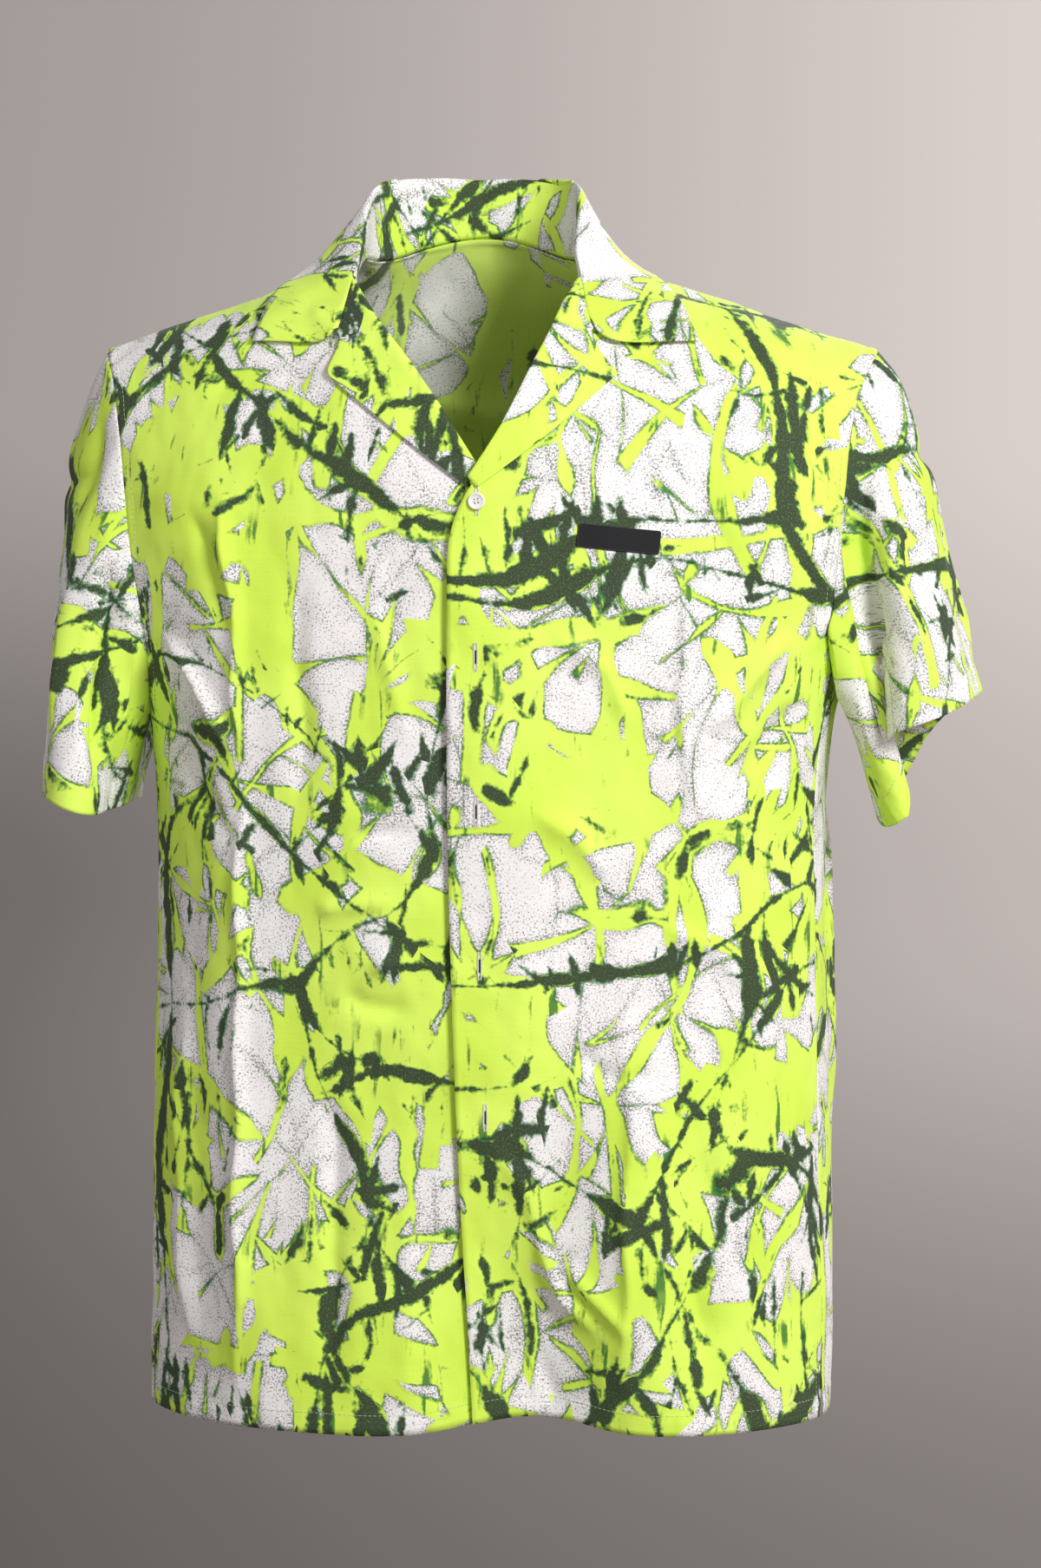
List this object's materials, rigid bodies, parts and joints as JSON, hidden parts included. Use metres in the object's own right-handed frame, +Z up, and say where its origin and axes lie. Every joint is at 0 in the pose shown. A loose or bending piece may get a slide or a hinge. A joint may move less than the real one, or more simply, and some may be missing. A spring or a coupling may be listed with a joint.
{
  "type": "short-sleeved camp-collar shirt",
  "caption": "Short-sleeved camp-collar shirt with notched lapels and a buttoned front, hollow and open at neck, cuffs and hem as when worn.",
  "frame": {"origin": "middle of the neck, level with the high shoulder points, where the wearer's shoulders carry the shirt", "axes": "+Z up, the front faces -Y, the wearer's left is +X"},
  "size_m": [0.6176, 0.2625, 0.8169],
  "materials": {
    "shirt_cloth": "light plain-weave cloth with an all-over print of neon green, speckled white and charcoal",
    "label_tape": "bare charcoal woven tape with a stitched border",
    "button": "white four-hole shirt button"
  },
  "bodies": {
    "root": {"front_left": "shirt_cloth", "front_right": "shirt_cloth", "back": "shirt_cloth", "sleeve_left": "shirt_cloth", "sleeve_right": "shirt_cloth", "collar": "shirt_cloth", "lapel_left": "shirt_cloth", "lapel_right": "shirt_cloth", "label_patch": "label_tape", "button_1": "button", "button_2": "button", "button_3": "button", "button_4": "button", "button_5": "button"}
  },
  "joints": []
}
